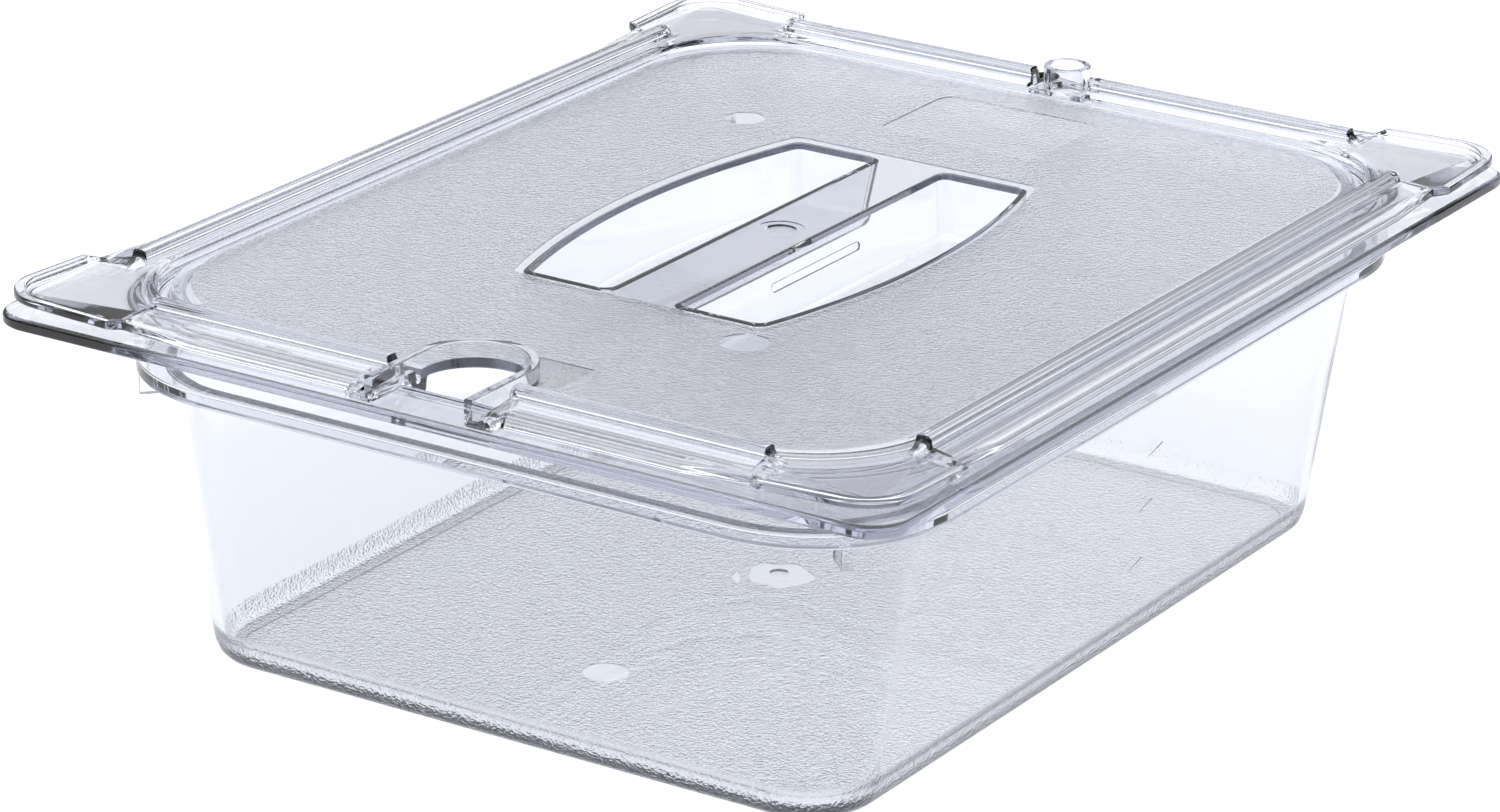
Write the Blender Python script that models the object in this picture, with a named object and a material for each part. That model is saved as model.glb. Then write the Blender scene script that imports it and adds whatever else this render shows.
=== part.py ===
"""Clear half-size food pan with a notched lid that lifts off.

Two mouldings in metres, +Z up, origin at the middle of the pan's base. X runs along the two
shorter sides, which carry the lid's notch and port, and Y along the two longer sides. Every
closed outline is given by its inset from the flange's outer edge, so pan and lid share one plan.
"""
import math

import bmesh
import bpy
from mathutils import Matrix, Vector

MM = 0.001

# Plan of the flange, which every inset is measured from
HALF_X = 132.5
HALF_Y = 162.5

# Pan heights
FLOOR_THICK = 2.8
SHOULDER_Z = 78.1
FLANGE_LOW_Z = 93.7
FLANGE_TOP_Z = 97.0

# Pan insets and plan corner radii
FLANGE_RADIUS = 10.0
SHOULDER_INSET = 14.9
SHOULDER_RADIUS = 39.4
WALL_TOP_INSET = 22.6
WALL_TOP_RADIUS = 33.5
WALL_LOW_INSET = 34.0
WALL_LOW_RADIUS = 20.0
BASE_FILLET = 9.0
WALL_THICK = 2.6
SHOULDER_CHAMFER = 1.2
SHOULDER_ROUND = 0.8
FLANGE_LOW_ROUND = 0.7
FLANGE_TOP_ROUND = 0.9
MOUTH_ROUND = 1.0

# Stacking fins under the pan's shoulder, one on each corner's diagonal
FIN_LOW_Z = 72.8
FIN_THICK = 3.0
FIN_LENGTH = 9.6
FIN_SETBACK = 0.5

# Lid: heights of the edge, the web up to the ribs, the channel around the panel and the panel
SEAT_GAP = 0.3
LID_LOW_Z = FLANGE_TOP_Z + SEAT_GAP
EDGE_TOP_Z = 99.9
SHOULDER_TOP_Z = 100.9
WEB_TOP_Z = 102.0
GAP_WEB_Z = 99.8
GAP_EDGE_Z = 99.2
PLATEAU_Z = 101.0
RIB_TOP_Z = 104.6
CHANNEL_Z = 96.0
PANEL_Z = 99.5
PLUG_LOW_Z = 93.3
BEAD_FOOT_Z = 100.7
BEAD_TOP_Z = 101.8
BEAD_THICK = 2.3
TIP_RISE = 0.8

# Lid: insets, plan corner radii and thicknesses
LID_INSET = 0.8
LID_RADIUS = 14.5
EDGE_INSET = 4.6
EDGE_ROUNDING = 0.5
EDGE_SHOULDER = 1.4
EDGE_LAND = 2.6
SIDE_SHOULDER_INSET = 7.4
BEAD_FOOT_INSET = 4.3
BEAD_INSET = 3.4
BEAD_UNDER_INSET = 4.9
BEAD_UNDER_RADIUS = 10.5
CREASE_INSET = 12.4
CREASE_TIP_INSET = 8.0
CREASE_RADIUS = 3.0
RIB_INSET = 13.4
RIB_FOOT_RADIUS = 8.0
RIB_WIDTH = 5.0
RIB_STATIONS = ((0.08, 16.0), (0.26, 15.0), (0.5, 13.0), (0.74, 11.0), (0.92, 9.0))
PLATEAU_RADIUS = 16.5
PLUG_INSET = 18.6
PLUG_RADIUS = 35.7
CHANNEL_INSET = 20.3
CHANNEL_WIDTH = 2.4
CHANNEL_DRAFT = 0.4
CHANNEL_RADIUS = 34.0
PANEL_RADIUS = 36.0
LID_WALL = 2.4
PANEL_THICK = 2.5

# Lid: lengths along the edges. The corner zone is measured from the flange's corners, the gap
# and the tab from the wall of a notch or port
CORNER_ZONE = 37.5
RAMP = 4.5
RIB_GAP = 1.8
TAB_LENGTH = 2.8
STEP = 0.5

# Front notch, open through the edge, and back port, closed; a wall stands around each
NOTCH_RADIUS = 15.9
NOTCH_WALL = 2.4
NOTCH_INSET = 24.6
NOTCH_TOP_Z = 104.4
PORT_RADIUS = 6.6
PORT_WALL = 1.9
PORT_INSET = 12.9
PORT_TOP_Z = 106.0
WALL_FOOT_Z = LID_LOW_Z + 0.1
CUT_MARGIN = 5.0

# Finger pockets either side of the grip bar: straight inside and at the ends, bowed outside
BAR_HALF = 10.3
POCKET_HALF_Y = 64.8
POCKET_END_X = 35.5
POCKET_MID_X = 44.8
POCKET_FLOOR_Z = 82.0
POCKET_DRAFT = 2.5
POCKET_WALL = 2.3
POCKET_CORNER = 3.5
POCKET_CORNER_STEPS = 4
POCKET_OVERCUT = 1.0

CORNER_STEPS = 8
ARC_STEPS = 10


def clear_scene():
    for obj in list(bpy.data.objects):
        bpy.data.objects.remove(obj, do_unlink=True)


def new_collection(name):
    group = bpy.data.collections.new(name)
    bpy.context.scene.collection.children.link(group)
    return group


def clear_plastic(name, colour):
    """Transparent polycarbonate."""
    material = bpy.data.materials.new(name)
    material.use_nodes = True
    shader = material.node_tree.nodes["Principled BSDF"]
    shader.inputs["Base Color"].default_value = (*colour, 1.0)
    shader.inputs["Roughness"].default_value = 0.08
    shader.inputs["Metallic"].default_value = 0.0
    shader.inputs["IOR"].default_value = 1.585
    shader.inputs["Transmission Weight"].default_value = 0.95
    material.diffuse_color = (*colour, 0.45)
    return material


def corner_arc(centre_x, centre_y, radius, start, steps):
    """A quarter turn of points, counterclockwise from the angle start in degrees."""
    points = []
    for step in range(steps + 1):
        angle = math.radians(start + 90.0 * step / steps)
        points.append((centre_x + radius * math.cos(angle), centre_y + radius * math.sin(angle)))
    return points


def rounded_outline(inset, radius, steps=CORNER_STEPS):
    """A rounded rectangle in plan, inset from the flange's outer edge."""
    in_x = HALF_X - inset - radius
    in_y = HALF_Y - inset - radius
    outline = []
    for sign_x, sign_y, start in ((1, 1, 0), (-1, 1, 90), (-1, -1, 180), (1, -1, 270)):
        outline += corner_arc(sign_x * in_x, sign_y * in_y, radius, start, steps)
    return outline


def at_height(outline, height):
    return [Vector((x, y, height)) for x, y in outline]


def loft(name, rings, material, group):
    """A closed body through rings of equal point counts, capped at the first and the last."""
    mesh_data = bmesh.new()
    rows = [[mesh_data.verts.new(point * MM) for point in ring] for ring in rings]
    mesh_data.faces.new(reversed(rows[0]))
    mesh_data.faces.new(rows[-1])
    for low, high in zip(rows, rows[1:]):
        for index, vertex in enumerate(low):
            after = (index + 1) % len(low)
            mesh_data.faces.new((vertex, low[after], high[after], high[index]))
    bmesh.ops.recalc_face_normals(mesh_data, faces=mesh_data.faces)
    mesh = bpy.data.meshes.new(name)
    mesh_data.to_mesh(mesh)
    mesh_data.free()
    mesh.materials.append(material)
    obj = bpy.data.objects.new(name, mesh)
    group.objects.link(obj)
    return obj


def boolean(target, cutter, operation):
    step = target.modifiers.new(f"{operation.lower()} {cutter.name}", "BOOLEAN")
    step.operation = operation
    step.object = cutter
    step.solver = "EXACT"
    cutter.hide_render = True
    cutter.display_type = "WIRE"


def smooth(obj, angle=30.0):
    obj.data.shade_smooth()
    obj.data.set_sharp_from_angle(angle=math.radians(angle))


# Pan -----------------------------------------------------------------------------------------

def wall_station(height):
    """Inset and corner radius of the tapered outer wall at a height."""
    share = height / SHOULDER_Z
    inset = WALL_LOW_INSET + (WALL_TOP_INSET - WALL_LOW_INSET) * share
    radius = WALL_LOW_RADIUS + (WALL_TOP_RADIUS - WALL_LOW_RADIUS) * share
    return inset, radius


def fillet_rings(foot_z, fillet, thickness, steps):
    """The rounded foot of a wall that stands thickness inside the outer one, floor first."""
    wall_inset, wall_radius = wall_station(foot_z + fillet)
    rings = []
    for step in range(steps + 1):
        angle = math.radians(90.0 * step / steps)
        inward = fillet * (1.0 - math.sin(angle))
        height = foot_z + fillet * (1.0 - math.cos(angle))
        outline = rounded_outline(wall_inset + thickness + inward, wall_radius - thickness - inward)
        rings.append(at_height(outline, height))
    return rings


def pan_rings():
    """Around the pan's section: outside from base to flange, then inside from rim to floor."""
    ledge_z = SHOULDER_Z + WALL_THICK
    mouth_inset = SHOULDER_INSET + WALL_THICK
    mouth_radius = SHOULDER_RADIUS - WALL_THICK
    top_inset, top_radius = wall_station(SHOULDER_Z)
    soft = SHOULDER_ROUND
    rings = fillet_rings(0.0, BASE_FILLET, 0.0, 5)
    outside = [
        (top_inset, top_radius, SHOULDER_Z - SHOULDER_CHAMFER / 2.0),
        (top_inset - SHOULDER_CHAMFER, top_radius + SHOULDER_CHAMFER, SHOULDER_Z),
        (SHOULDER_INSET + soft, SHOULDER_RADIUS - soft, SHOULDER_Z),
        (SHOULDER_INSET, SHOULDER_RADIUS, SHOULDER_Z + soft),
        (SHOULDER_INSET, SHOULDER_RADIUS, FLANGE_LOW_Z),
        (FLANGE_LOW_ROUND, FLANGE_RADIUS - FLANGE_LOW_ROUND, FLANGE_LOW_Z),
        (0.0, FLANGE_RADIUS, FLANGE_LOW_Z + FLANGE_LOW_ROUND),
        (0.0, FLANGE_RADIUS, FLANGE_TOP_Z - FLANGE_TOP_ROUND),
        (FLANGE_TOP_ROUND, FLANGE_RADIUS - FLANGE_TOP_ROUND, FLANGE_TOP_Z),
        (mouth_inset - MOUTH_ROUND, mouth_radius + MOUTH_ROUND, FLANGE_TOP_Z),
        (mouth_inset, mouth_radius, FLANGE_TOP_Z - MOUTH_ROUND),
        (mouth_inset, mouth_radius, ledge_z + MOUTH_ROUND),
        (mouth_inset + MOUTH_ROUND, mouth_radius - MOUTH_ROUND, ledge_z),
        (top_inset + WALL_THICK - soft, top_radius - WALL_THICK + soft, ledge_z),
        (top_inset + WALL_THICK, top_radius - WALL_THICK, ledge_z - soft),
    ]
    for inset, radius, height in outside:
        rings.append(at_height(rounded_outline(inset, radius), height))
    inner_fillet = BASE_FILLET - WALL_THICK
    rings += reversed(fillet_rings(FLOOR_THICK, inner_fillet, WALL_THICK, 4))
    return rings


def stacking_fin(sign_x, sign_y, material, cutters):
    """A short fin below the shoulder, on the diagonal of one corner."""
    top_z = SHOULDER_Z + WALL_THICK / 2.0
    centre_x = sign_x * (HALF_X - SHOULDER_INSET - SHOULDER_RADIUS)
    centre_y = sign_y * (HALF_Y - SHOULDER_INSET - SHOULDER_RADIUS)
    bpy.ops.mesh.primitive_cube_add(size=1.0)
    fin = bpy.context.object
    fin.name = f"stacking fin {sign_x} {sign_y}"
    diagonal = math.atan2(sign_y, sign_x)
    reach = SHOULDER_RADIUS - FIN_SETBACK - FIN_LENGTH / 2.0
    fin.data.transform(Matrix.Diagonal((FIN_LENGTH * MM, FIN_THICK * MM, (top_z - FIN_LOW_Z) * MM, 1.0)))
    fin.rotation_euler = (0.0, 0.0, diagonal)
    fin.location = (
        (centre_x + reach * math.cos(diagonal)) * MM,
        (centre_y + reach * math.sin(diagonal)) * MM,
        (top_z + FIN_LOW_Z) / 2.0 * MM,
    )
    fin.data.materials.append(material)
    for group in fin.users_collection:
        group.objects.unlink(fin)
    cutters.objects.link(fin)
    return fin


def build_pan(group, cutters):
    material = clear_plastic("clear pan plastic", (0.86, 0.88, 0.93))
    pan = loft("food_pan", pan_rings(), material, group)
    for sign_x in (-1, 1):
        for sign_y in (-1, 1):
            boolean(pan, stacking_fin(sign_x, sign_y, material, cutters), "UNION")
    smooth(pan)
    return pan


# Lid -----------------------------------------------------------------------------------------

def side_places(half_length, straight, wall_radius):
    """Distances from a side's middle where the rim's section changes, none past the straight."""
    rib_end = half_length - CORNER_ZONE
    rib_start = wall_radius + RIB_GAP
    tab_end = rib_start + STEP + TAB_LENGTH
    places = [rib_start, rib_start + STEP, tab_end, tab_end + STEP, rib_end - RAMP, rib_end]
    last = len(places) - 1
    return [min(place, straight - (last - index) - STEP) for index, place in enumerate(places)]


def rim_ring(insets, radius, heights):
    """One ring of the rim, counterclockwise from the +X side.

    The insets are those along a side, where a corner starts and at its tip; the heights are those
    in the gap beside a notch, along a rib, where a corner starts and at its tip.
    """
    side_inset, end_inset, tip_inset = insets
    gap_z, rib_z, corner_z, tip_z = heights
    ring = []
    sides = (
        (0.0, HALF_X, HALF_Y, 0.0, rib_z, side_inset),
        (90.0, HALF_Y, HALF_X, PORT_RADIUS, gap_z, side_inset),
        (180.0, HALF_X, HALF_Y, 0.0, rib_z, side_inset),
        (270.0, HALF_Y, HALF_X, NOTCH_RADIUS, gap_z, end_inset),
    )
    for turn, reach, half_length, wall_radius, first_z, tab_inset in sides:
        rotation = Matrix.Rotation(math.radians(turn), 3, "Z")
        straight = half_length - tip_inset - radius
        places = side_places(half_length, straight, wall_radius)
        station_insets = [tab_inset] * 3 + [side_inset] * 2 + [end_inset]
        station_heights = [first_z] + [rib_z] * 4 + [corner_z]
        stations = list(zip(places, station_insets, station_heights))
        mirrored = [(-place, inset, height) for place, inset, height in reversed(stations)]
        for place, inset, height in mirrored + stations:
            ring.append(rotation @ Vector((reach - inset, place, height)))
        for x, y in corner_arc(reach - tip_inset - radius, straight, radius, 0.0, CORNER_STEPS):
            ring.append(rotation @ Vector((x, y, tip_z)))
    return ring


def level_ring(inset, radius, height):
    return rim_ring((inset,) * 3, radius, (height,) * 4)


def channel_rings():
    """The panel's edge and the channel around it, from the panel outwards."""
    end = CHANNEL_INSET + CHANNEL_WIDTH
    plateau = (GAP_WEB_Z, PLATEAU_Z, PLATEAU_Z, PLATEAU_Z)
    return [
        level_ring(end, PANEL_RADIUS, PANEL_Z),
        level_ring(end - CHANNEL_DRAFT, PANEL_RADIUS, CHANNEL_Z),
        level_ring(CHANNEL_INSET + CHANNEL_DRAFT, CHANNEL_RADIUS, CHANNEL_Z),
        rim_ring((CHANNEL_INSET,) * 3, CHANNEL_RADIUS, plateau),
    ]


def rib_rings():
    """The rounded stacking rib and the crease outside it, inner side first."""
    end = RIB_INSET + RIB_WIDTH
    plateau = (GAP_WEB_Z, PLATEAU_Z, PLATEAU_Z, PLATEAU_Z)
    web = (GAP_WEB_Z, WEB_TOP_Z, PLATEAU_Z, PLATEAU_Z)
    rings = [rim_ring((end,) * 3, PLATEAU_RADIUS, plateau)]
    for share, radius in RIB_STATIONS:
        height = WEB_TOP_Z + (RIB_TOP_Z - WEB_TOP_Z) * math.sin(math.pi * share) ** 0.5
        inset = end - RIB_WIDTH * share
        rings.append(rim_ring((inset,) * 3, radius, (GAP_WEB_Z, height, PLATEAU_Z, PLATEAU_Z)))
    rings.append(rim_ring((RIB_INSET,) * 3, RIB_FOOT_RADIUS, web))
    rings.append(rim_ring((CREASE_INSET, CREASE_INSET, CREASE_TIP_INSET), CREASE_RADIUS, web))
    return rings


def edge_rings():
    """The outer edge from the web down to the seat: set back along the sides, a bead at corners."""
    turn = EDGE_ROUNDING
    bead_low = BEAD_TOP_Z - BEAD_THICK

    def edge_ring(side_inset, bead_inset, gap_z, side_z, bead_z, rise):
        insets = (side_inset, bead_inset, bead_inset)
        radius = LID_RADIUS + LID_INSET - bead_inset
        return rim_ring(insets, radius, (gap_z, side_z, bead_z, bead_z + rise))

    return [
        edge_ring(SIDE_SHOULDER_INSET, BEAD_FOOT_INSET, GAP_EDGE_Z, SHOULDER_TOP_Z, BEAD_FOOT_Z, 0.0),
        edge_ring(EDGE_INSET + EDGE_SHOULDER, BEAD_INSET, GAP_EDGE_Z, EDGE_TOP_Z + turn,
                  BEAD_TOP_Z, TIP_RISE),
        edge_ring(EDGE_INSET + turn, LID_INSET + turn, GAP_EDGE_Z, EDGE_TOP_Z, BEAD_TOP_Z, TIP_RISE),
        edge_ring(EDGE_INSET, LID_INSET, GAP_EDGE_Z - turn, EDGE_TOP_Z - turn,
                  BEAD_TOP_Z - turn, TIP_RISE),
        edge_ring(EDGE_INSET, LID_INSET, LID_LOW_Z + turn, LID_LOW_Z + turn,
                  bead_low + turn, TIP_RISE),
        edge_ring(EDGE_INSET + turn, LID_INSET + turn, LID_LOW_Z, LID_LOW_Z, bead_low, TIP_RISE),
        edge_ring(EDGE_INSET + EDGE_LAND, BEAD_INSET, LID_LOW_Z, LID_LOW_Z, bead_low, TIP_RISE),
    ]


def underside_rings():
    """Under the web, down and up the plug that centres the lid in the pan, to the panel."""
    plug_end = CHANNEL_INSET + CHANNEL_WIDTH + LID_WALL
    web_low = WEB_TOP_Z - LID_WALL
    plateau_low = PLATEAU_Z - LID_WALL
    side_inset = SIDE_SHOULDER_INSET + EDGE_SHOULDER
    side_low = SHOULDER_TOP_Z - LID_WALL
    under = (LID_LOW_Z, side_low, plateau_low, plateau_low)
    return [
        rim_ring((side_inset, BEAD_UNDER_INSET, BEAD_UNDER_INSET), BEAD_UNDER_RADIUS, under),
        rim_ring((PLUG_INSET,) * 3, PLUG_RADIUS, (LID_LOW_Z, web_low, plateau_low, plateau_low)),
        level_ring(PLUG_INSET + CHANNEL_DRAFT, PLUG_RADIUS, PLUG_LOW_Z),
        level_ring(plug_end - CHANNEL_DRAFT, CHANNEL_RADIUS, PLUG_LOW_Z),
        level_ring(plug_end, CHANNEL_RADIUS, PANEL_Z - PANEL_THICK),
    ]


def notch_outline(radius, edge_inset):
    """A U that opens through the edge of the front side: a half turn and two straight arms."""
    outline = [(radius, edge_inset - HALF_Y)]
    for step in range(2 * ARC_STEPS + 1):
        angle = math.pi * step / (2 * ARC_STEPS)
        centre_y = NOTCH_INSET - HALF_Y
        outline.append((radius * math.cos(angle), centre_y + radius * math.sin(angle)))
    outline.append((-radius, edge_inset - HALF_Y))
    return outline


def port_outline(radius):
    outline = []
    for step in range(3 * ARC_STEPS):
        angle = 2.0 * math.pi * step / (3 * ARC_STEPS)
        outline.append((radius * math.cos(angle), HALF_Y - PORT_INSET + radius * math.sin(angle)))
    return outline


def cut_opening(lid, name, wall_outline, hole_outline, top_z, material, cutters):
    """A raised wall around an opening, then the opening through wall, web and plug."""
    wall = [at_height(wall_outline, WALL_FOOT_Z), at_height(wall_outline, top_z)]
    boolean(lid, loft(f"{name} wall", wall, material, cutters), "UNION")
    low_z = PLUG_LOW_Z - CUT_MARGIN
    hole = [at_height(hole_outline, low_z), at_height(hole_outline, top_z + CUT_MARGIN)]
    boolean(lid, loft(f"{name} hole", hole, material, cutters), "DIFFERENCE")


def pocket_outline(side, shrink):
    """A finger pocket in plan: straight by the bar and at both ends, an arc on the far side."""
    half_y = POCKET_HALF_Y - shrink
    corner = POCKET_CORNER
    bow = POCKET_MID_X - POCKET_END_X
    big_radius = (POCKET_HALF_Y ** 2 + bow ** 2) / (2.0 * bow)
    centre_x = POCKET_MID_X - big_radius
    reach = big_radius - shrink - corner
    corner_y = half_y - corner
    corner_x = centre_x + math.sqrt(reach ** 2 - corner_y ** 2)
    meeting = math.degrees(math.atan2(corner_y, corner_x - centre_x))
    outline = []

    def arc(x, y, radius, start, end, steps):
        for step in range(steps + 1):
            angle = math.radians(start + (end - start) * step / steps)
            outline.append((x + radius * math.cos(angle), y + radius * math.sin(angle)))

    inner_x = BAR_HALF + shrink + corner
    steps = POCKET_CORNER_STEPS
    arc(inner_x, -corner_y, corner, 180.0, 270.0, steps)
    arc(corner_x, -corner_y, corner, 270.0, 360.0 - meeting, steps)
    arc(centre_x, 0.0, big_radius - shrink, -meeting * 0.96, meeting * 0.96, ARC_STEPS)
    arc(corner_x, corner_y, corner, meeting, 90.0, steps)
    arc(inner_x, corner_y, corner, 90.0, 180.0, steps)
    return [(side * x, y) for x, y in outline]


def cut_pocket(lid, side, material, cutters):
    """A cup under the panel, then the hollow that fingers go into."""
    name = "right pocket" if side > 0 else "left pocket"
    cup = [
        at_height(pocket_outline(side, POCKET_DRAFT - POCKET_WALL), POCKET_FLOOR_Z - POCKET_WALL),
        at_height(pocket_outline(side, -POCKET_WALL), PANEL_Z - PANEL_THICK / 2.0),
    ]
    boolean(lid, loft(f"{name} cup", cup, material, cutters), "UNION")
    slope = POCKET_DRAFT / (PANEL_Z - POCKET_FLOOR_Z)
    hollow = [
        at_height(pocket_outline(side, POCKET_DRAFT), POCKET_FLOOR_Z),
        at_height(pocket_outline(side, -slope * POCKET_OVERCUT), PANEL_Z + POCKET_OVERCUT),
    ]
    boolean(lid, loft(f"{name} hollow", hollow, material, cutters), "DIFFERENCE")


def build_lid(group, cutters):
    material = clear_plastic("clear lid plastic", (0.85, 0.86, 0.91))
    rings = channel_rings() + rib_rings() + edge_rings() + underside_rings()
    lid = loft("lid", rings, material, group)
    wall_outline = notch_outline(NOTCH_RADIUS, LID_INSET + STEP)
    hole_outline = notch_outline(NOTCH_RADIUS - NOTCH_WALL, -CUT_MARGIN)
    cut_opening(lid, "front notch", wall_outline, hole_outline, NOTCH_TOP_Z, material, cutters)
    wall_outline = port_outline(PORT_RADIUS)
    hole_outline = port_outline(PORT_RADIUS - PORT_WALL)
    cut_opening(lid, "back port", wall_outline, hole_outline, PORT_TOP_Z, material, cutters)
    for side in (-1, 1):
        cut_pocket(lid, side, material, cutters)
    smooth(lid)
    return lid


def main():
    clear_scene()
    group = new_collection("deli_food_pan")
    cutters = new_collection("cutters")
    build_pan(group, cutters)
    build_lid(group, cutters)


main()
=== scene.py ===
"""Looks of the clear food pan and its notched lid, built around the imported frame.

Both pieces are clear mouldings, lofted through closed rings and then cut or joined where they have
openings, walls and marks. Lengths are in millimetres until a mesh is made. A ring's inset is its
distance in from the flange's outer edge, and its radius is that of its rounded corners in plan.
"""
import math

import bmesh
import bpy
from mathutils import Matrix, Vector


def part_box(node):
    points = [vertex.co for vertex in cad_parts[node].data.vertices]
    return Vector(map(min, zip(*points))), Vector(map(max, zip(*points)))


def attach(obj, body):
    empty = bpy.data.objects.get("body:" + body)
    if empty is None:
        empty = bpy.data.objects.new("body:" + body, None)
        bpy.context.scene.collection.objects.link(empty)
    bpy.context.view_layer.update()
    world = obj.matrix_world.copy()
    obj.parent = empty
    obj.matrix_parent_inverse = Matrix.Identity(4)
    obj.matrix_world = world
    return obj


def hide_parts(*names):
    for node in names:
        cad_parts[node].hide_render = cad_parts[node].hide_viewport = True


MM = 0.001

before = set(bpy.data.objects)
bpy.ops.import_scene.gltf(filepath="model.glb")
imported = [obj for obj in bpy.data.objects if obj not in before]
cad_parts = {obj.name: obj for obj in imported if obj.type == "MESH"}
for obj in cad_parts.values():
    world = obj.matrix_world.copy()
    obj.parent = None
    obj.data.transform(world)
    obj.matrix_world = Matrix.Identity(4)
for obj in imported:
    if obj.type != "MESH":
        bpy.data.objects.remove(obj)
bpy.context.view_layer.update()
PAN_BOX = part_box("food_pan")
LID_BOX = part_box("lid")

# Plan of the flange, which every inset is measured from
HALF_X = PAN_BOX[1].x / MM
HALF_Y = PAN_BOX[1].y / MM

# Pan
FLANGE_TOP_Z = PAN_BOX[1].z / MM
FLANGE_THICK = 3.3
FLANGE_RADIUS = 10.0
SHOULDER_Z = 78.1
SHOULDER_INSET = 14.9
SHOULDER_RADIUS = 39.4
WALL_THICK = 2.6
FLOOR_THICK = 2.8
WALL_TOP_INSET = 22.6
WALL_TOP_RADIUS = 33.5
WALL_LOW_INSET = 34.0
WALL_LOW_RADIUS = 20.0
BASE_FILLET = 9.0
FLOOR_EDGE = 1.5
FOOT_FILLET = 7.0
FOOT_INSET = 41.2
FOOT_SLOPE = 0.8
BASE_STEP = 0.5
FIN_LOW_Z = 72.8
FIN_THICK = 3.0
FIN_LENGTH = 9.6

# Lid heights
SEAT_GAP = 0.3
LIP_LOW_Z = FLANGE_TOP_Z + SEAT_GAP
WEB_Z = 102.0
PLATEAU_Z = 101.0
RIB_TOP_Z = 104.6
PANEL_Z = 99.5
PANEL_LOW_Z = 97.0
GAP_WEB_Z = 99.8
GAP_EDGE_Z = 99.2
GAP_LOW_Z = 97.6
BEAD_TOP_Z = 101.8
BEAD_LOW_Z = 99.5
TIP_RISE = 0.8
NOTCH_TOP_Z = 104.4
PORT_TOP_Z = LID_BOX[1].z / MM

# Lid lengths along the edges, measured from the flange's corners
CORNER_ZONE = 37.5
RIB_RAMP = 4.5
BEAD_RAMP = 2.5
LIP_FADE = 60.0

# The lid's front notch, open through the edge, and its back port, closed; a wall around each, the
# ribs' gap to it and the tab that the edge has beside the notch
NOTCH_RADIUS = 15.9
NOTCH_WALL = 2.4
NOTCH_INSET = 24.6
NOTCH_END_INSET = 1.3
PORT_RADIUS = 6.6
PORT_WALL = 1.9
PORT_INSET = 12.9
CUT_SHIFT = 0.17
CUT_HEIGHTS = (85.0, 112.0)
RIB_GAP = 1.8
TAB_LENGTH = 2.8

# Finger pockets either side of the grip bar
BAR_HALF = 10.3
POCKET_HALF_Y = 64.8
POCKET_END_X = 35.5
POCKET_MID_X = 44.8
POCKET_FLOOR_Z = 82.0
POCKET_DRAFT = 2.5
POCKET_WALL = 1.4
POCKET_CORNER = 3.5

# Marks on the panel, on the grip bar, in the pan's base and on its +X wall. A disc is a centre and
# a radius; a bar disc and the gate hole are a radius and a depth. TICK_SIZE is a tick's half length
# and its height, and a tick rises by TICK_RISE either side of its middle
MARK_DEPTH = 0.2
PANEL_DISCS = (((-58.5, 73.5), 5.6), ((40.0, -79.0), 6.4))
BAR_DISCS = ((6.4, 0.25), (4.3, 0.9))
PAD_LOW = (-24.0, 86.0)
PAD_HIGH = (26.0, 124.0)
PAD_CORNER = 5.0
PAD_DEPTH = MARK_DEPTH * 1.5
SLOT_LOW = (-22.0, 89.9)
SLOT_HIGH = (21.0, 92.3)
SLOT_CORNER = 1.19
BASE_DISC = ((0.0, -79.0), 6.0)
GATE_HOLE = (3.0, 0.8)
TICK_HEIGHTS = (24.0, 41.0, 57.0)
TICK_Y = 12.0
TICK_SIZE = (3.5, 0.45)
TICK_RISE = 1.0
TICK_DEPTH = 0.2
GRIP_BORDER = 3.2
PATCH_LOW = (5.0, -133.0)
PATCH_HIGH = (20.8, -116.3)

# Points around a corner in plan, spans around a corner of a section, and where shading turns sharp
CORNER_STEPS = 20
BEND_STEPS = 4
SHARP_ANGLE = 38.0

# Clear polycarbonate: the tint of each surface that light crosses, and that of its depth
INDEX = 1.585
SURFACE_TINT = (0.95, 0.955, 0.97, 1.0)
DEPTH_TINT = (0.70, 0.72, 0.78, 1.0)
DEPTH_DENSITY = 60.0

# Finishes of a face. A moulding has one material, because light that enters a body through one
# material has to leave it through the same; each face then carries its finish's grain and haze
CLEAR, PEBBLE, COARSE, SATIN = range(4)
HAZE = (0.015, 0.12, 0.35, 0.11)
GRAIN_SIZE = 0.0009
COARSE_HEIGHT = 0.0006
SATIN_HEIGHT = 0.00015
LID_GRAIN_HEIGHT = 0.0004
PAN_GRAIN_HEIGHT = 0.0004
WAVE_SIZE = 0.02
WAVE_HEIGHT = 0.00003


# Materials -----------------------------------------------------------------------------------

def add_node(tree, kind, **values):
    node = tree.nodes.new(kind)
    for name, value in values.items():
        node.inputs[name].default_value = value
    return node


def calculate(tree, operation, first, second):
    node = tree.nodes.new("ShaderNodeMath")
    node.operation = operation
    for socket, value in zip(node.inputs, (first, second)):
        if isinstance(value, float):
            socket.default_value = value
        else:
            tree.links.new(value, socket)
    return node.outputs["Value"]


def face_value(tree, name):
    node = tree.nodes.new("ShaderNodeAttribute")
    node.attribute_name = name
    return node.outputs["Fac"]


def noise(tree, place, size):
    node = add_node(tree, "ShaderNodeTexNoise", Scale=1.0 / size, Detail=1.0, Roughness=0.55)
    tree.links.new(place, node.inputs["Vector"])
    return node.outputs["Fac"]


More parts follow.
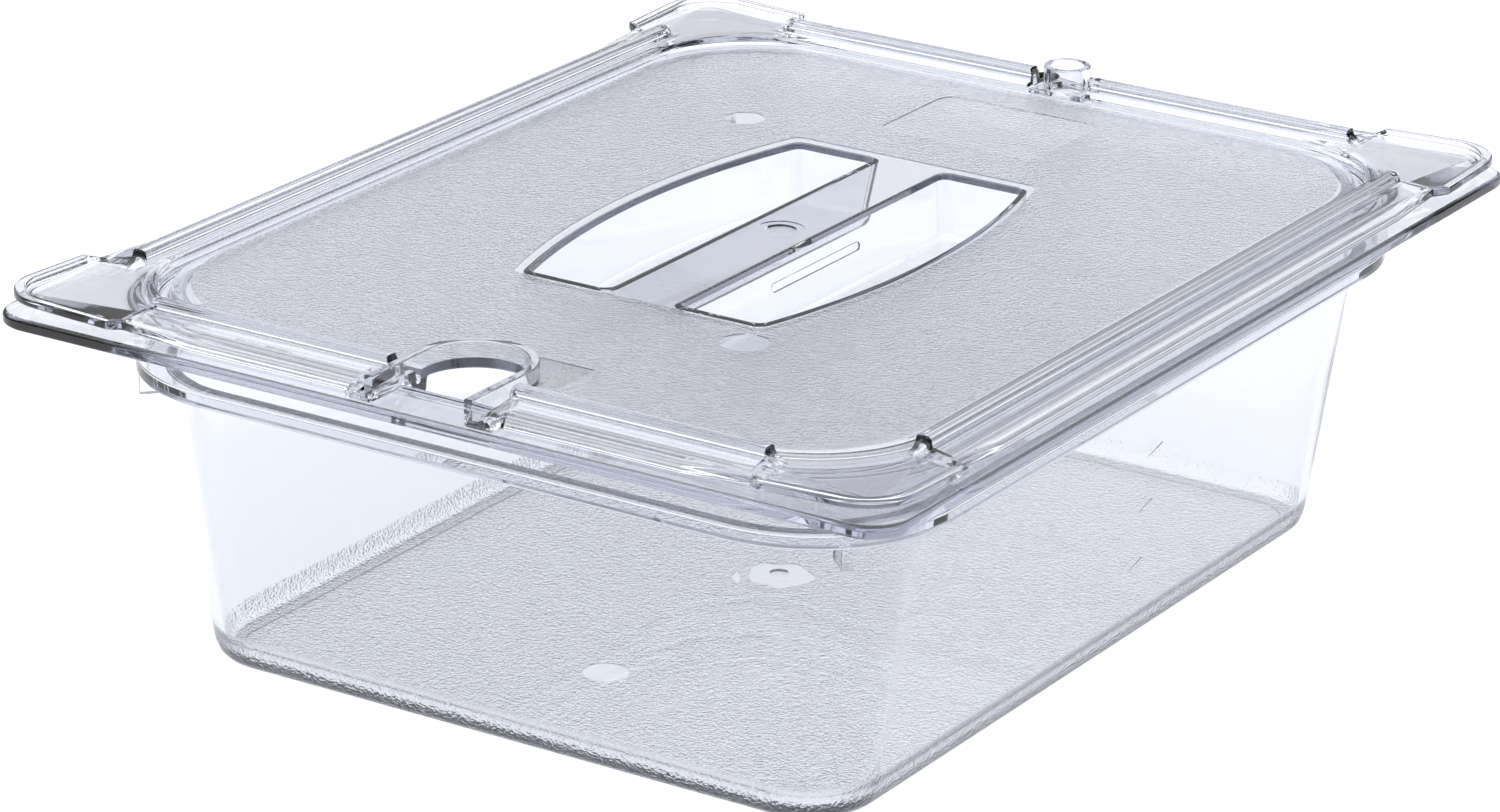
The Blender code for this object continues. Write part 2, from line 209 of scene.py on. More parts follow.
def plastic(name):
    """Clear polycarbonate; each face's own values say how high its grain is and how hazy it is."""
    material = bpy.data.materials.new(name)
    material.use_nodes = True
    tree = material.node_tree
    shader = tree.nodes["Principled BSDF"]
    shader.inputs["Base Color"].default_value = SURFACE_TINT
    shader.inputs["IOR"].default_value = INDEX
    shader.inputs["Transmission Weight"].default_value = 1.0
    place = tree.nodes.new("ShaderNodeTexCoord").outputs["Object"]
    grain = noise(tree, place, GRAIN_SIZE)
    grain_height = calculate(tree, "MULTIPLY", grain, face_value(tree, "grain"))
    waves = noise(tree, place, WAVE_SIZE)
    wave_height = calculate(tree, "MULTIPLY", waves, WAVE_HEIGHT)
    bump = add_node(tree, "ShaderNodeBump", Strength=1.0, Distance=1.0)
    tree.links.new(calculate(tree, "ADD", grain_height, wave_height), bump.inputs["Height"])
    tree.links.new(bump.outputs["Normal"], shader.inputs["Normal"])
    share = calculate(tree, "ADD", grain, 0.5)
    haze = calculate(tree, "MULTIPLY", share, face_value(tree, "haze"))
    tree.links.new(haze, shader.inputs["Roughness"])
    absorb = add_node(tree, "ShaderNodeVolumeAbsorption", Density=DEPTH_DENSITY)
    absorb.inputs["Color"].default_value = DEPTH_TINT
    output = tree.nodes["Material Output"]
    tree.links.new(absorb.outputs["Volume"], output.inputs["Volume"])
    return material


# Mesh helpers --------------------------------------------------------------------------------

def bend_corners(points):
    """Rounds an open path of (inset, height, radius, setback); a corner with setback 0 is kept."""
    path = []
    for index, point in enumerate(points):
        here = Vector(point[:3])
        if point[3] == 0.0:
            path.append(here)
            continue
        ends = []
        for other in (points[index - 1], points[index + 1]):
            step = Vector(other[:3]) - here
            room = 0.45 if other[3] else 0.95
            ends.append(here + step * min(point[3] / math.hypot(step.x, step.y), room))
        for count in range(BEND_STEPS + 1):
            share = count / BEND_STEPS
            rest = 1.0 - share
            path.append(ends[0] * rest ** 2 + here * 2.0 * share * rest + ends[1] * share ** 2)
    return path


def corner_arc(centre_x, centre_y, radius, start=0.0, steps=CORNER_STEPS):
    """A quarter turn of points, counterclockwise from the angle start in degrees."""
    points = []
    for step in range(steps + 1):
        angle = math.radians(start + 90.0 * step / steps)
        points.append((centre_x + radius * math.cos(angle), centre_y + radius * math.sin(angle)))
    return points


def rounded_rectangle(low, high, radius, steps=CORNER_STEPS):
    """An outline in plan between two corners."""
    outline = []
    spots = ((high, high, 0.0), (low, high, 90.0), (low, low, 180.0), (high, low, 270.0))
    for (x, _), (_, y), start in spots:
        in_x = x - radius if x == high[0] else x + radius
        in_y = y - radius if y == high[1] else y + radius
        outline += corner_arc(in_x, in_y, radius, start, steps)
    return outline


def inset_outline(inset, radius):
    reach = (HALF_X - inset, HALF_Y - inset)
    return rounded_rectangle((-reach[0], -reach[1]), reach, radius)


def disc(centre, radius, steps=48):
    turns = [2.0 * math.pi * step / steps for step in range(steps)]
    return [(centre[0] + radius * math.cos(a), centre[1] + radius * math.sin(a)) for a in turns]


def at_height(outline, height):
    return [Vector((x, y, height)) for x, y in outline]


def loft(name, rings, finishes=None, materials=(), closed=False):
    """A closed body through rings of equal counts, capped or joined end to end.

    finishes gives each band's material slot, from the first cap to the last one.
    """
    build = bmesh.new()
    rows = [[build.verts.new(point * MM) for point in ring] for ring in rings]
    bands = []
    pairs = list(zip(rows, rows[1:])) + ([(rows[-1], rows[0])] if closed else [])
    for low, high in pairs:
        band = []
        for index, vertex in enumerate(low):
            after = (index + 1) % len(low)
            band.append(build.faces.new((vertex, low[after], high[after], high[index])))
        bands.append(band)
    if not closed:
        bands.insert(0, [build.faces.new(reversed(rows[0]))])
        bands.append([build.faces.new(rows[-1])])
    if finishes:
        for band, finish in zip(bands, finishes):
            for face in band:
                face.material_index = finish
    bmesh.ops.recalc_face_normals(build, faces=build.faces)
    mesh = bpy.data.meshes.new(name)
    build.to_mesh(mesh)
    build.free()
    for material in materials:
        mesh.materials.append(material)
    obj = bpy.data.objects.new(name, mesh)
    bpy.context.scene.collection.objects.link(obj)
    return obj


def combine(target, tool, operation):
    """Cuts tool from target or joins it, applied at once, and removes the tool."""
    step = target.modifiers.new(operation, "BOOLEAN")
    step.operation = operation
    step.solver = "EXACT"
    step.object = tool
    keep_result(target)
    bpy.data.objects.remove(tool, do_unlink=True)


def keep_result(obj):
    """Replaces an object's mesh with its modifiers' result."""
    graph = bpy.context.evaluated_depsgraph_get()
    mesh = bpy.data.meshes.new_from_object(obj.evaluated_get(graph))
    obj.modifiers.clear()
    old = obj.data
    obj.data = mesh
    bpy.data.meshes.remove(old)


def set_finishes(mesh, material, grain_height):
    """Turns the faces' slots into the grain and haze that the one material reads."""
    slots = [0] * len(mesh.polygons)
    mesh.polygons.foreach_get("material_index", slots)
    heights = (0.0, grain_height, COARSE_HEIGHT, SATIN_HEIGHT)
    for name, values in (("grain", heights), ("haze", HAZE)):
        layer = mesh.attributes.new(name, "FLOAT", "FACE")
        layer.data.foreach_set("value", [values[slot] for slot in slots])
    mesh.polygons.foreach_set("material_index", [0] * len(slots))
    mesh.materials.clear()
    mesh.materials.append(material)


def finish_mesh(obj, body, node):
    """Smooth shading that keeps flat faces flat, and the piece's place in the frame."""
    obj.data.shade_smooth()
    obj.data.set_sharp_from_angle(angle=math.radians(SHARP_ANGLE))
    weights = obj.modifiers.new("face weights", "WEIGHTED_NORMAL")
    weights.keep_sharp = True
    weights.weight = 80
    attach(obj, body)
    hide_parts(node)


def recess(target, outline, top_z, depth, materials, finish=CLEAR):
    """A shallow recess down from top_z, or up from it for a negative depth."""
    away = 1.0 if depth > 0 else -1.0
    rings = [at_height(outline, top_z - depth), at_height(outline, top_z + away)]
    tool = loft("recess", rings, (finish,) * 3, materials)
    combine(target, tool, "DIFFERENCE")


# Pan -----------------------------------------------------------------------------------------

def pan_path():
    """Around the pan's section: up the outside from the base, and down the inside to the floor."""
    low_z = FLANGE_TOP_Z - FLANGE_THICK
    mouth = SHOULDER_INSET + WALL_THICK
    mouth_radius = SHOULDER_RADIUS - WALL_THICK
    ledge_z = SHOULDER_Z + WALL_THICK
    cap = WALL_LOW_INSET + BASE_FILLET + FLOOR_EDGE
    cap_radius = WALL_LOW_RADIUS - BASE_FILLET - FLOOR_EDGE
    low_radius = WALL_LOW_RADIUS - WALL_THICK
    foot_radius = WALL_LOW_RADIUS - (FOOT_INSET - WALL_LOW_INSET)
    return [
        (cap, BASE_STEP, cap_radius, 0.0),
        (FOOT_INSET + FOOT_SLOPE, BASE_STEP, foot_radius - FOOT_SLOPE, 0.2),
        (FOOT_INSET, 0.0, foot_radius, 0.15),
        (WALL_LOW_INSET, 0.0, WALL_LOW_RADIUS, FOOT_FILLET),
        (WALL_TOP_INSET, SHOULDER_Z, WALL_TOP_RADIUS, 1.2),
        (SHOULDER_INSET, SHOULDER_Z, SHOULDER_RADIUS, 1.2),
        (SHOULDER_INSET, low_z, SHOULDER_RADIUS, 1.6),
        (0.0, low_z, FLANGE_RADIUS, 0.9),
        (0.0, FLANGE_TOP_Z, FLANGE_RADIUS, 1.2),
        (mouth, FLANGE_TOP_Z, mouth_radius, 1.4),
        (mouth, ledge_z, mouth_radius, 1.2),
        (WALL_TOP_INSET + WALL_THICK, ledge_z, WALL_TOP_RADIUS - WALL_THICK, 1.8),
        (WALL_LOW_INSET + WALL_THICK, FLOOR_THICK, low_radius, BASE_FILLET - WALL_THICK),
        (cap, FLOOR_THICK, cap_radius, 0.0),
    ]


def stacking_fin(sign_x, sign_y, materials):
    """A short upright fin below the shoulder, on the diagonal of one corner."""
    reach = SHOULDER_RADIUS - 0.5
    half = FIN_THICK / 2.0
    outline = rounded_rectangle((reach - FIN_LENGTH, -half), (reach, half), 0.4, 3)
    top_z = SHOULDER_Z + WALL_THICK / 2.0
    turn = Matrix.Rotation(math.atan2(sign_y, sign_x), 3, "Z")
    centre_x = sign_x * (HALF_X - SHOULDER_INSET - SHOULDER_RADIUS)
    centre_y = sign_y * (HALF_Y - SHOULDER_INSET - SHOULDER_RADIUS)
    centre = Vector((centre_x, centre_y, 0.0))
    rings = [[turn @ point + centre for point in at_height(outline, z)] for z in (FIN_LOW_Z, top_z)]
    return loft("stacking fin", rings, None, materials)


def gate_blob():
    """The smooth patch that spread around the pan's gate."""
    outline = []
    for step in range(72):
        angle = 2.0 * math.pi * step / 72
        radius = 9.6 + 1.1 * math.sin(2.0 * angle + 0.6) + 0.7 * math.sin(5.0 * angle)
        outline.append((radius * math.cos(angle), radius * math.sin(angle)))
    return outline


def litre_tick(height, materials):
    """A slanting mark of volume, cut into the outside of the +X wall."""
    inset = WALL_LOW_INSET - (WALL_LOW_INSET - WALL_TOP_INSET) * height / SHOULDER_Z
    wall_x = HALF_X - inset
    half_y, thick = TICK_SIZE
    low, high = -TICK_RISE, TICK_RISE
    corners = ((-half_y, low), (half_y, high), (half_y, high + thick), (-half_y, low + thick))
    rings = [[Vector((x, TICK_Y + y, height + z)) for y, z in corners]
             for x in (wall_x - TICK_DEPTH, wall_x + 2.0)]
    return loft("litre tick", rings, None, materials)


def build_pan():
    material = plastic("pan plastic")
    materials = [material] * len(HAZE)
    path = bend_corners(pan_path())
    rings = [at_height(inset_outline(inset, radius), height) for inset, height, radius in path]
    foot_bands = 1 + 3 * (BEND_STEPS + 1)
    finishes = [PEBBLE] * foot_bands + [CLEAR] * (len(path) + 1 - foot_bands)
    pan = loft("clear_pan", rings, finishes, materials)
    for sign_x in (-1, 1):
        for sign_y in (-1, 1):
            combine(pan, stacking_fin(sign_x, sign_y, materials), "UNION")
    recess(pan, gate_blob(), BASE_STEP, -MARK_DEPTH, materials)
    recess(pan, disc(*BASE_DISC), BASE_STEP, -MARK_DEPTH, materials)
    recess(pan, disc((0.0, 0.0), GATE_HOLE[0]), FLOOR_THICK, GATE_HOLE[1], materials)
    for height in TICK_HEIGHTS:
        combine(pan, litre_tick(height, materials), "DIFFERENCE")
    set_finishes(pan.data, material, PAN_GRAIN_HEIGHT)
    finish_mesh(pan, "pan", "food_pan")
    return pan


# Lid -----------------------------------------------------------------------------------------

# Around the lid's section, from the panel over the rim and back under it: inset and height along a
# rib, height in the gap beside a notch, inset and height in a corner, plan radius, setback, and how
# the point passes from side to corner
LID_SECTION = [
    (25.0, PANEL_Z, PANEL_Z, 25.0, PANEL_Z, 40.0, 0.0, "level"),
    (22.7, PANEL_Z, PANEL_Z, 22.7, PANEL_Z, 36.0, 0.7, "level"),
    (22.3, 96.0, 96.0, 22.3, 96.0, 35.8, 0.8, "level"),
    (20.7, 96.0, 96.0, 20.7, 96.0, 34.4, 0.8, "level"),
    (20.3, PLATEAU_Z, GAP_WEB_Z, 20.3, PLATEAU_Z, 34.0, 0.7, "level"),
    (18.4, PLATEAU_Z, GAP_WEB_Z, 18.4, PLATEAU_Z, 16.5, 0.5, "rib"),
    (17.9, RIB_TOP_Z, GAP_WEB_Z, 17.9, PLATEAU_Z, 16.0, 1.2, "rib"),
    (13.9, RIB_TOP_Z, GAP_WEB_Z, 13.9, PLATEAU_Z, 9.0, 1.2, "rib"),
    (13.4, WEB_Z, GAP_WEB_Z, 13.0, PLATEAU_Z, 8.0, 0.4, "rib"),
    (12.4, WEB_Z, GAP_WEB_Z, 8.5, PLATEAU_Z, 3.0, 0.4, "rib"),
    (7.4, 100.9, GAP_EDGE_Z, 4.6, 100.4, 10.7, 0.5, "web"),
    (6.0, 100.3, GAP_EDGE_Z, 3.7, BEAD_TOP_Z, 11.6, 0.5, "crest"),
    (4.6, 99.8, GAP_EDGE_Z, 0.8, BEAD_TOP_Z, 14.5, 0.8, "crest"),
    (4.6, LIP_LOW_Z, LIP_LOW_Z, 0.8, BEAD_LOW_Z, 14.5, 0.6, "crest"),
    (7.0, LIP_LOW_Z, LIP_LOW_Z, 3.6, BEAD_LOW_Z, 11.7, 0.5, "crest"),
    (7.8, 98.4, GAP_LOW_Z, 5.4, 98.6, 9.9, 0.5, "web"),
    (14.6, 99.7, GAP_LOW_Z, 14.6, 98.6, 9.6, 0.4, "web"),
    (15.0, 102.4, GAP_LOW_Z, 15.0, 98.6, 10.0, 0.7, "rib"),
    (16.8, 102.4, GAP_LOW_Z, 16.8, 98.6, 12.0, 0.7, "rib"),
    (17.2, 99.6, GAP_LOW_Z, 17.2, 98.6, 13.0, 0.4, "web"),
    (18.6, 99.2, GAP_LOW_Z, 18.6, 98.6, 35.7, 0.4, "web"),
    (18.9, 93.3, 93.3, 18.9, 93.3, 35.4, 0.9, "level"),
    (24.7, 93.3, 93.3, 24.7, 93.3, 34.0, 0.9, "level"),
    (25.1, PANEL_LOW_Z, PANEL_LOW_Z, 25.1, PANEL_LOW_Z, 34.0, 0.9, "level"),
    (28.0, PANEL_LOW_Z, PANEL_LOW_Z, 28.0, PANEL_LOW_Z, 34.0, 0.0, "level"),
]


def smooth_step(share):
    share = min(max(share, 0.0), 1.0)
    return share * share * (3.0 - 2.0 * share)


def corner_weights(kind, from_corner):
    """How far a point's inset and its height have passed from side to corner, 0 to 1."""
    if kind == "level":
        return 0.0, 0.0
    if kind == "rib":
        into_ramp = min(max((CORNER_ZONE + RIB_RAMP - from_corner) / RIB_RAMP, 0.0), 1.0)
        return 0.0, math.sqrt(1.0 - (1.0 - into_ramp) ** 2)
    into_bead = smooth_step((CORNER_ZONE + BEAD_RAMP - from_corner) / BEAD_RAMP)
    if kind == "web":
        return into_bead, into_bead
    fade = min(max((LIP_FADE - from_corner) / (LIP_FADE - CORNER_ZONE), 0.0), 1.0)
    return into_bead, 0.7 * fade + 0.3 * into_bead


def side_places(half_length, wall_radius):
    """Distances from a side's middle, each with its share of a full rib and of the edge's tab."""
    start = (wall_radius or 5.0) + RIB_GAP
    tab_end = start + 0.8 + TAB_LENGTH
    places = [(start, 0.0, 1.0), (start + 0.3, 0.75, 1.0), (start + 0.8, 1.0, 1.0)]
    places += [(tab_end, 1.0, 1.0), (tab_end + 0.5, 1.0, 0.0)]
    ends = [LIP_FADE, 52.0, 46.0]
    ramp_end = CORNER_ZONE + RIB_RAMP
    ends += [ramp_end - RIB_RAMP * (1.0 - math.cos(math.pi / 2.0 * step / 9)) for step in range(10)]
    places += [(half_length - end, 1.0, 0.0) for end in ends]
    if not wall_radius:
        places = [(place, 1.0, 0.0) for place, _, _ in places]
    return places


def lid_ring(side, gap, corner, kind):
    """One ring of the lid, counterclockwise from +X; each point is (inset, height, radius)."""
    ring = []
    sides = (
        (0.0, HALF_X, HALF_Y, 0.0, 0.0),
        (90.0, HALF_Y, HALF_X, PORT_RADIUS, 0.0),
        (180.0, HALF_X, HALF_Y, 0.0, 0.0),
        (270.0, HALF_Y, HALF_X, NOTCH_RADIUS, 1.0 if kind in ("web", "crest") else 0.0),
    )
    tip_z = corner[1] + (TIP_RISE if kind == "crest" else 0.0)
    for turn, reach, half_length, wall_radius, tab in sides:
        rotation = Matrix.Rotation(math.radians(turn), 3, "Z")
        straight = half_length - corner[0] - corner[2]
        places = side_places(half_length, wall_radius)
        stations = []
        for index, (place, rib_share, tab_share) in enumerate(places):
            inset_weight, height_weight = corner_weights(kind, half_length - place)
            inset = side[0] + (corner[0] - side[0]) * max(inset_weight, tab * tab_share)
            height = gap[1] + (side[1] - gap[1]) * rib_share
            height += (corner[1] - height) * height_weight
            kept = min(place, straight - 0.25 * (len(places) - index))
            stations.append((inset, kept, height))
        mirrored = [(inset, -place, height) for inset, place, height in reversed(stations)]
        for inset, place, height in mirrored + stations:
            ring.append(rotation @ Vector((reach - inset, place, height)))
        centre = reach - corner[0] - corner[2]
        for x, y in corner_arc(centre, straight, corner[2]):
            ring.append(rotation @ Vector((x, y, tip_z)))
    return ring


def lid_rim():
    """Every ring of the lid, with the corners of its section rounded."""
    sides = bend_corners([(p[0], p[1], p[5], p[6]) for p in LID_SECTION])
    beside = bend_corners([(p[0], p[2], p[5], p[6]) for p in LID_SECTION])
    corners = bend_corners([(p[3], p[4], p[5], p[6]) for p in LID_SECTION])
    kinds = []
    for point in LID_SECTION:
        kinds += [point[7]] * (BEND_STEPS + 1 if point[6] else 1)
    return [lid_ring(*parts) for parts in zip(sides, beside, corners, kinds)]


def notch_path(radius, end_inset, steps=48):
    """A U that opens to -Y, as points with the direction across it: a half turn and two arms."""
    centre_y = NOTCH_INSET - HALF_Y
    end_y = end_inset - HALF_Y
    path = [(Vector((radius, end_y, 0.0)), Vector((1.0, 0.0, 0.0)))]
    for step in range(steps + 1):
        angle = math.pi * step / steps
        across = Vector((math.cos(angle), math.sin(angle), 0.0))
        path.append((Vector((0.0, centre_y, 0.0)) + across * radius, across))
    path.append((Vector((-radius, end_y, 0.0)), Vector((-1.0, 0.0, 0.0))))
    return path


def port_path(radius, steps=64):
    path = []
    for step in range(steps):
        angle = 2.0 * math.pi * step / steps
        across = Vector((math.cos(angle), math.sin(angle), 0.0))
        path.append((Vector((0.0, HALF_Y - PORT_INSET, 0.0)) + across * radius, across))
    return path


def standing_wall(path, thickness, top_z, closed, materials):
    """A rounded section swept along a path in plan."""
    half = thickness / 2.0
    section = rounded_rectangle((-half, LIP_LOW_Z + 0.2), (half, top_z), 0.4, 3)
    rings = []
    for place, across in path:
        rings.append([place + across * offset + Vector((0.0, 0.0, z)) for offset, z in section])
    return loft("standing wall", rings, None, materials, closed)


def cut_through(lid, path, materials):
    rings = [[place + Vector((0.0, 0.0, z)) for place, _ in path] for z in CUT_HEIGHTS]
    combine(lid, loft("opening", rings, None, materials), "DIFFERENCE")


def add_notch_and_port(lid, materials):
    """Opens the rim, the web and the plug, then stands a wall around each opening."""
    middle = NOTCH_RADIUS - NOTCH_WALL / 2.0
    cut_through(lid, notch_path(middle - CUT_SHIFT, -5.0, 41), materials)
    path = notch_path(middle, NOTCH_END_INSET)
    combine(lid, standing_wall(path, NOTCH_WALL, NOTCH_TOP_Z, False, materials), "UNION")
    middle = PORT_RADIUS - PORT_WALL / 2.0
    cut_through(lid, port_path(middle - CUT_SHIFT, 45), materials)
    path = port_path(middle)
    combine(lid, standing_wall(path, PORT_WALL, PORT_TOP_Z, True, materials), "UNION")


def arc_points(centre_x, centre_y, radius, start, end, steps):
    points = []
    for step in range(steps + 1):
        angle = math.radians(start + (end - start) * step / steps)
        points.append((centre_x + radius * math.cos(angle), centre_y + radius * math.sin(angle)))
    return points


def bowed_side(half_y, shrink):
    """Centre, radius and end point of the pocket's bowed far side with its corner roundings."""
    bow = POCKET_MID_X - POCKET_END_X
    big_radius = (POCKET_HALF_Y ** 2 + bow ** 2) / (2.0 * bow)
    centre_x = POCKET_MID_X - big_radius
    reach = big_radius - shrink - POCKET_CORNER
    corner_y = half_y - POCKET_CORNER
    corner_x = centre_x + math.sqrt(reach ** 2 - corner_y ** 2)
    meeting = math.degrees(math.atan2(corner_y, corner_x - centre_x))
    return centre_x, big_radius - shrink, corner_x, corner_y, meeting


def pocket_outline(side, shrink):
    """A finger pocket in plan: straight by the bar and at both ends, an arc on the far side."""
    centre_x, big_radius, corner_x, corner_y, meeting = bowed_side(POCKET_HALF_Y - shrink, shrink)
    corner = POCKET_CORNER
    inner_x = BAR_HALF + shrink + corner
    outline = arc_points(inner_x, -corner_y, corner, 180.0, 270.0, 8)
    outline += arc_points(corner_x, -corner_y, corner, 270.0, 360.0 - meeting, 8)
    outline += arc_points(centre_x, 0.0, big_radius, -meeting * 0.96, meeting * 0.96, 28)
    outline += arc_points(corner_x, corner_y, corner, meeting, 90.0, 8)
    outline += arc_points(inner_x, corner_y, corner, 90.0, 180.0, 8)
    return [(side * x, y) for x, y in outline]


def grip_outline():
    """The smooth area around both pockets and the bar."""
    centre_x, big_radius, corner_x, corner_y, meeting = bowed_side(
        POCKET_HALF_Y + GRIP_BORDER, -GRIP_BORDER)
    corner = POCKET_CORNER
    right = arc_points(corner_x, -corner_y, corner, 270.0, 360.0 - meeting, 8)
    right += arc_points(centre_x, 0.0, big_radius, -meeting * 0.96, meeting * 0.96, 28)
    right += arc_points(corner_x, corner_y, corner, meeting, 90.0, 8)
    return right + [(-x, y) for x, y in reversed(right)]


def pocket_rings(side, path):
    """Rings of a pocket from a path of (shrink, height) with rounded corners."""
    bent = bend_corners([(shrink, height, 0.0, setback) for shrink, height, setback in path])
    return [at_height(pocket_outline(side, shrink), height) for shrink, height, _ in bent]


def cut_pocket(lid, side, materials):
    """A cup under the panel, then the hollow that fingers go into."""
    grip_z = PANEL_Z - MARK_DEPTH
    low_z = POCKET_FLOOR_Z - POCKET_WALL
    cup = pocket_rings(side, [
        (POCKET_DRAFT - POCKET_WALL + 3.5, low_z, 0.0),
        (POCKET_DRAFT - POCKET_WALL, low_z, 2.6),
        (-POCKET_WALL, PANEL_LOW_Z + 1.0, 0.0),
    ])
    combine(lid, loft("pocket cup", cup, None, materials), "UNION")
    hollow = pocket_rings(side, [
        (POCKET_DRAFT + 3.0, POCKET_FLOOR_Z, 0.0),
        (POCKET_DRAFT, POCKET_FLOOR_Z, 2.0),
        (0.1, grip_z + 0.02, 0.6),
        (-3.0, grip_z + 0.02, 0.0),
    ])
    rim = hollow[-2]
    hollow[-1] = [Vector((point.x, point.y, PANEL_Z + 2.0)) for point in rim]
    combine(lid, loft("pocket hollow", hollow, None, materials), "DIFFERENCE")


def bar_wall_x(height):
    """Where the bar's sloping wall stands at a height."""
    return BAR_HALF + POCKET_DRAFT * (PANEL_Z - height) / (PANEL_Z - POCKET_FLOOR_Z)


def cut_bar_slot(lid, materials):
    """The slim oval mark on the bar's wall in the +X pocket."""
    outline = rounded_rectangle(SLOT_LOW, SLOT_HIGH, SLOT_CORNER, 6)
    rings = [[Vector((bar_wall_x(z) + x, y, z)) for y, z in outline] for x in (-0.5, 6.0)]
    combine(lid, loft("bar slot", rings, None, materials), "DIFFERENCE")


def build_lid():
    material = plastic("lid plastic")
    materials = [material] * len(HAZE)
    rings = lid_rim()
    finishes = [PEBBLE] + [CLEAR] * len(rings)
    lid = loft("clear_lid", rings, finishes, materials)
    patch = rounded_rectangle(PATCH_LOW, PATCH_HIGH, 0.3, 2)
    recess(lid, patch, PANEL_Z, MARK_DEPTH, materials, COARSE)
    add_notch_and_port(lid, materials)
    recess(lid, grip_outline(), PANEL_Z, MARK_DEPTH, materials)
    for side in (-1, 1):
        cut_pocket(lid, side, materials)
    cut_bar_slot(lid, materials)
    for radius, depth in BAR_DISCS:
        recess(lid, disc((0.0, 0.0), radius), PANEL_Z - MARK_DEPTH, depth, materials)
    for centre, radius in PANEL_DISCS:
        recess(lid, disc(centre, radius), PANEL_Z, MARK_DEPTH, materials)
    pad = rounded_rectangle(PAD_LOW, PAD_HIGH, PAD_CORNER)
    recess(lid, pad, PANEL_Z, PAD_DEPTH, materials, SATIN)
    set_finishes(lid.data, material, LID_GRAIN_HEIGHT)
    finish_mesh(lid, "lid", "lid")
    return lid


# Stage ---------------------------------------------------------------------------------------

CAMERA_AZIMUTH = 32.55
CAMERA_ELEVATION = 20.56
CAMERA_ROLL = 0.76
CAMERA_DISTANCE = 1527.75
CAMERA_SLIDE = (-7.35, -40.98)
CAMERA_AIM_Z = 93.5
CAMERA_LENS = 140.36

# The floor glows softly, so that it stays pale through the clear walls
FLOOR_COLOUR = (0.2, 0.2, 0.205, 1.0)
FLOOR_GLOW = (0.94, 0.96, 1.0, 1.0)

# The studio's brightness by height above the horizon, and the share that is left of it low down on
# the side of DARK_AZIMUTH, which is counted like the camera's
SKY_HORIZON = (0.10, 0.10, 0.11, 1.0)
SKY_LOW = (0.28, 0.28, 0.30, 1.0)
SKY_HIGH = (0.95, 0.95, 0.96, 1.0)
SKY_TOP = (0.75, 0.75, 0.75, 1.0)
SKY_LOW_END = 0.45
SKY_HIGH_START = 0.62
SKY_STRENGTH = 2.15
DARK_SHARE = 0.3
DARK_AZIMUTH = 75.0
SIDE_BLEND = 0.3
OVERHEAD_BLEND = (0.35, 0.62)


def build_camera():
    azimuth = math.radians(CAMERA_AZIMUTH)
    elevation = math.radians(CAMERA_ELEVATION)
    roll = math.radians(CAMERA_ROLL)
    flat = math.cos(elevation)
    back = Vector((math.sin(azimuth) * flat, -math.cos(azimuth) * flat, math.sin(elevation)))
    right = Vector((math.cos(azimuth), math.sin(azimuth), 0.0))
    up = back.cross(right)
    place = back * CAMERA_DISTANCE + right * CAMERA_SLIDE[0] + up * CAMERA_SLIDE[1]
    place.z += CAMERA_AIM_Z
    rolled_right = right * math.cos(roll) + up * math.sin(roll)
    rolled_up = up * math.cos(roll) - right * math.sin(roll)
    data = bpy.data.cameras.new("camera")
    data.lens = CAMERA_LENS
    data.sensor_width = 36.0
    data.sensor_fit = "HORIZONTAL"
    data.clip_start = 0.05
    data.clip_end = 50.0
    camera = bpy.data.objects.new("camera", data)
    axes = Matrix((rolled_right, rolled_up, back)).transposed()
    camera.matrix_world = Matrix.Translation(place * MM) @ axes.to_4x4()
    bpy.context.scene.collection.objects.link(camera)
    bpy.context.scene.camera = camera


def build_floor():
    build = bmesh.new()
    bmesh.ops.create_grid(build, x_segments=4, y_segments=4, size=6.0)
    mesh = bpy.data.meshes.new("floor")
    build.to_mesh(mesh)
    build.free()
    material = bpy.data.materials.new("floor white")
    material.use_nodes = True
    shader = material.node_tree.nodes["Principled BSDF"]
    shader.inputs["Base Color"].default_value = FLOOR_COLOUR
    shader.inputs["Roughness"].default_value = 0.9
    shader.inputs["Specular IOR Level"].default_value = 0.0
    shader.inputs["Emission Color"].default_value = FLOOR_GLOW
    shader.inputs["Emission Strength"].default_value = 1.0
    mesh.materials.append(material)
    floor = bpy.data.objects.new("floor", mesh)
    floor.location.z = -0.0004
    bpy.context.scene.collection.objects.link(floor)


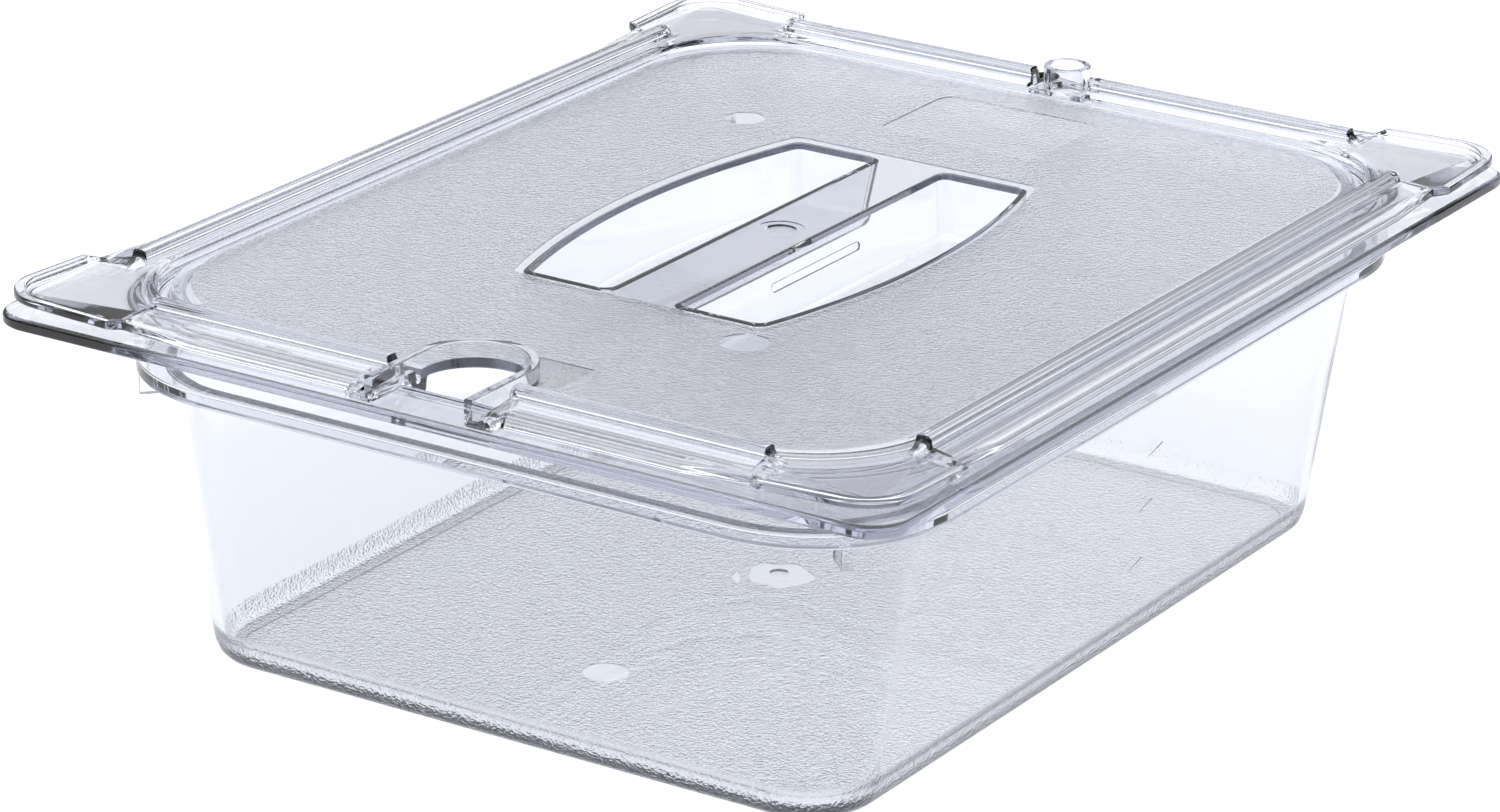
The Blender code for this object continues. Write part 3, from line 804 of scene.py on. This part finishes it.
def ramp_between(tree, value, low, high, lowest):
    """From lowest, where the value is low or less, to 1 where it is high or more."""
    node = add_node(tree, "ShaderNodeMapRange", **{"From Min": low, "From Max": high})
    node.inputs["To Min"].default_value = lowest
    tree.links.new(value, node.inputs["Value"])
    return node.outputs["Result"]


def build_world():
    """A soft studio: bright overhead, darker towards the horizon and more so on one side."""
    world = bpy.data.worlds.new("studio")
    world.use_nodes = True
    tree = world.node_tree
    direction = tree.nodes.new("ShaderNodeTexCoord").outputs["Generated"]
    split = tree.nodes.new("ShaderNodeSeparateXYZ")
    tree.links.new(direction, split.inputs["Vector"])
    heights = tree.nodes.new("ShaderNodeValToRGB")
    ramp = heights.color_ramp
    ramp.elements[0].position = 0.0
    ramp.elements[0].color = SKY_HORIZON
    ramp.elements[1].position = 1.0
    ramp.elements[1].color = SKY_TOP
    ramp.elements.new(SKY_LOW_END).color = SKY_LOW
    ramp.elements.new(SKY_HIGH_START).color = SKY_HIGH
    tree.links.new(split.outputs["Z"], heights.inputs["Fac"])
    azimuth = math.radians(DARK_AZIMUTH)
    across = tree.nodes.new("ShaderNodeVectorMath")
    across.operation = "DOT_PRODUCT"
    across.inputs[1].default_value = (-math.sin(azimuth), math.cos(azimuth), 0.0)
    tree.links.new(direction, across.inputs[0])
    side = ramp_between(tree, across.outputs["Value"], -SIDE_BLEND, SIDE_BLEND, DARK_SHARE)
    overhead = ramp_between(tree, split.outputs["Z"], *OVERHEAD_BLEND, 0.0)
    shade = calculate(tree, "MAXIMUM", side, overhead)
    background = tree.nodes["Background"]
    tree.links.new(calculate(tree, "MULTIPLY", shade, SKY_STRENGTH), background.inputs["Strength"])
    tree.links.new(heights.outputs["Color"], background.inputs["Color"])
    bpy.context.scene.world = world


def set_view():
    scene = bpy.context.scene
    scene.view_settings.view_transform = "Standard"
    scene.view_settings.look = "None"
    scene.cycles.max_bounces = 24
    scene.cycles.transmission_bounces = 24
    scene.cycles.glossy_bounces = 12
    scene.cycles.diffuse_bounces = 3


build_camera()
build_pan()
build_lid()
build_floor()
build_world()
set_view()
